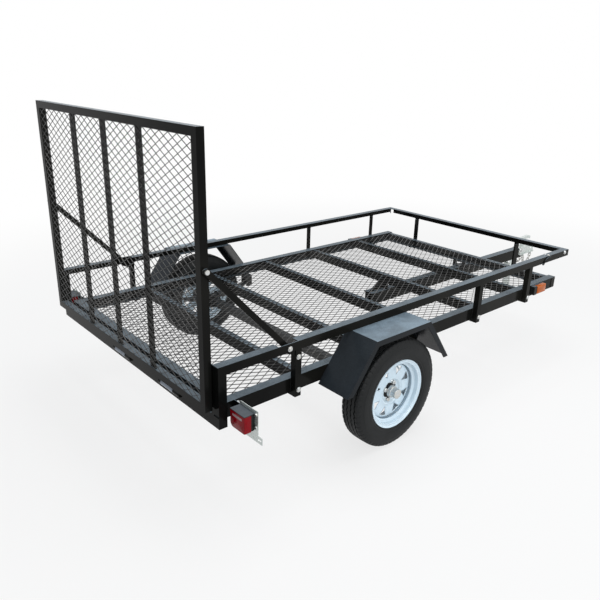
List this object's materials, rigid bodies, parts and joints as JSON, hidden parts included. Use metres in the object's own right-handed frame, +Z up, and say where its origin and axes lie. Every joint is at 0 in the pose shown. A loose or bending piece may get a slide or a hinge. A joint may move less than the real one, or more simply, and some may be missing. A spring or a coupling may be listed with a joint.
{
  "type": "utility trailer",
  "caption": "Single-axle utility trailer with a mesh deck, low side rails, a mesh ramp gate held up by braces, a straight tongue with ball coupler and a folding parking leg.",
  "frame": {"origin": "on the ground, under the middle of the overall length and width with the gate up", "axes": "+X forward to the coupler, +Y to the trailer's left, +Z up"},
  "size_m": [3.559, 1.76, 1.48],
  "materials": {
    "powder_black": "gloss black powder coat",
    "mesh_black": "gloss black powder coat on expanded steel",
    "fender_black": "gloss black powder coat on folded sheet",
    "chassis_black": "satin black chassis paint",
    "tyre": "black radial tyre rubber with light mould sheen",
    "white_rim": "gloss white wheel enamel",
    "zinc_steel": "bright zinc plate",
    "red_lens": "clear red moulded lens",
    "amber_lens": "clear amber moulded lens"
  },
  "bodies": {
    "root": {"axle": "chassis_black", "brace_anchors": "powder_black", "chain_eyes": "zinc_steel", "coupler": "zinc_steel", "coupler_latch": "zinc_steel", "coupler_socket": "zinc_steel", "crossmembers": "powder_black", "deck_mesh": "mesh_black", "fender_left": "fender_black", "fender_right": "fender_black", "front_member": "powder_black", "hinge_barrels": "powder_black", "jack_bracket": "zinc_steel", "lamp_arms": "powder_black", "lamp_brackets": "zinc_steel", "leaf_springs": "chassis_black", "rear_beam": "powder_black", "rear_sill": "powder_black", "rear_uprights": "powder_black", "safety_chains": "zinc_steel", "side_markers": "amber_lens", "side_rail_left": "powder_black", "side_rail_right": "powder_black", "spring_hangers": "chassis_black", "stake_posts_front": "powder_black", "stake_posts_left": "powder_black", "stake_posts_right": "powder_black", "tail_lamps": "red_lens", "tongue_beam": "powder_black", "tongue_brackets": "powder_black", "top_rail_flange_left": "powder_black", "top_rail_flange_right": "powder_black", "top_rail_front": "powder_black", "top_rail_left": "powder_black", "top_rail_right": "powder_black"},
    "wheel_right": {"tyre_right": "tyre", "rim_right": "white_rim", "hub_right": "chassis_black", "wheel_fixings_right": "zinc_steel"},
    "wheel_left": {"tyre_left": "tyre", "rim_left": "white_rim", "hub_left": "chassis_black", "wheel_fixings_left": "zinc_steel"},
    "gate": {"gate_frame": "powder_black", "gate_uprights": "powder_black", "gate_mesh": "mesh_black", "gate_hinges": "powder_black", "brace_pivots": "zinc_steel"},
    "brace_right": {"gate_brace_right": "powder_black"},
    "brace_left": {"gate_brace_left": "powder_black"},
    "jack": {"jack_leg": "zinc_steel", "jack_foot": "zinc_steel"}
  },
  "joints": [
    {"name": "wheel_right_spin", "type": "hinge", "parent": "root", "child": "wheel_right", "pos_m": [-0.8475, -0.803, 0.265], "axis": [0, 1, 0], "continuous": true},
    {"name": "wheel_left_spin", "type": "hinge", "parent": "root", "child": "wheel_left", "pos_m": [-0.8475, 0.803, 0.265], "axis": [0, 1, 0], "continuous": true},
    {"name": "gate_lower", "type": "hinge", "parent": "root", "child": "gate", "pos_m": [-1.7535, 0, 0.412], "axis": [0, -1, 0], "range_deg": [0, 110]},
    {"name": "brace_right_swing", "type": "hinge", "parent": "gate", "child": "brace_right", "pos_m": [-1.7635, -0.7105, 0.997], "axis": [0, -1, 0], "range_deg": [0, 105]},
    {"name": "brace_left_swing", "type": "hinge", "parent": "gate", "child": "brace_left", "pos_m": [-1.7635, 0.7105, 0.997], "axis": [0, -1, 0], "range_deg": [0, 105]},
    {"name": "jack_fold", "type": "hinge", "parent": "root", "child": "jack", "pos_m": [1.4695, 0, 0.226], "axis": [0, 1, 0], "range_deg": [0, 90]}
  ]
}
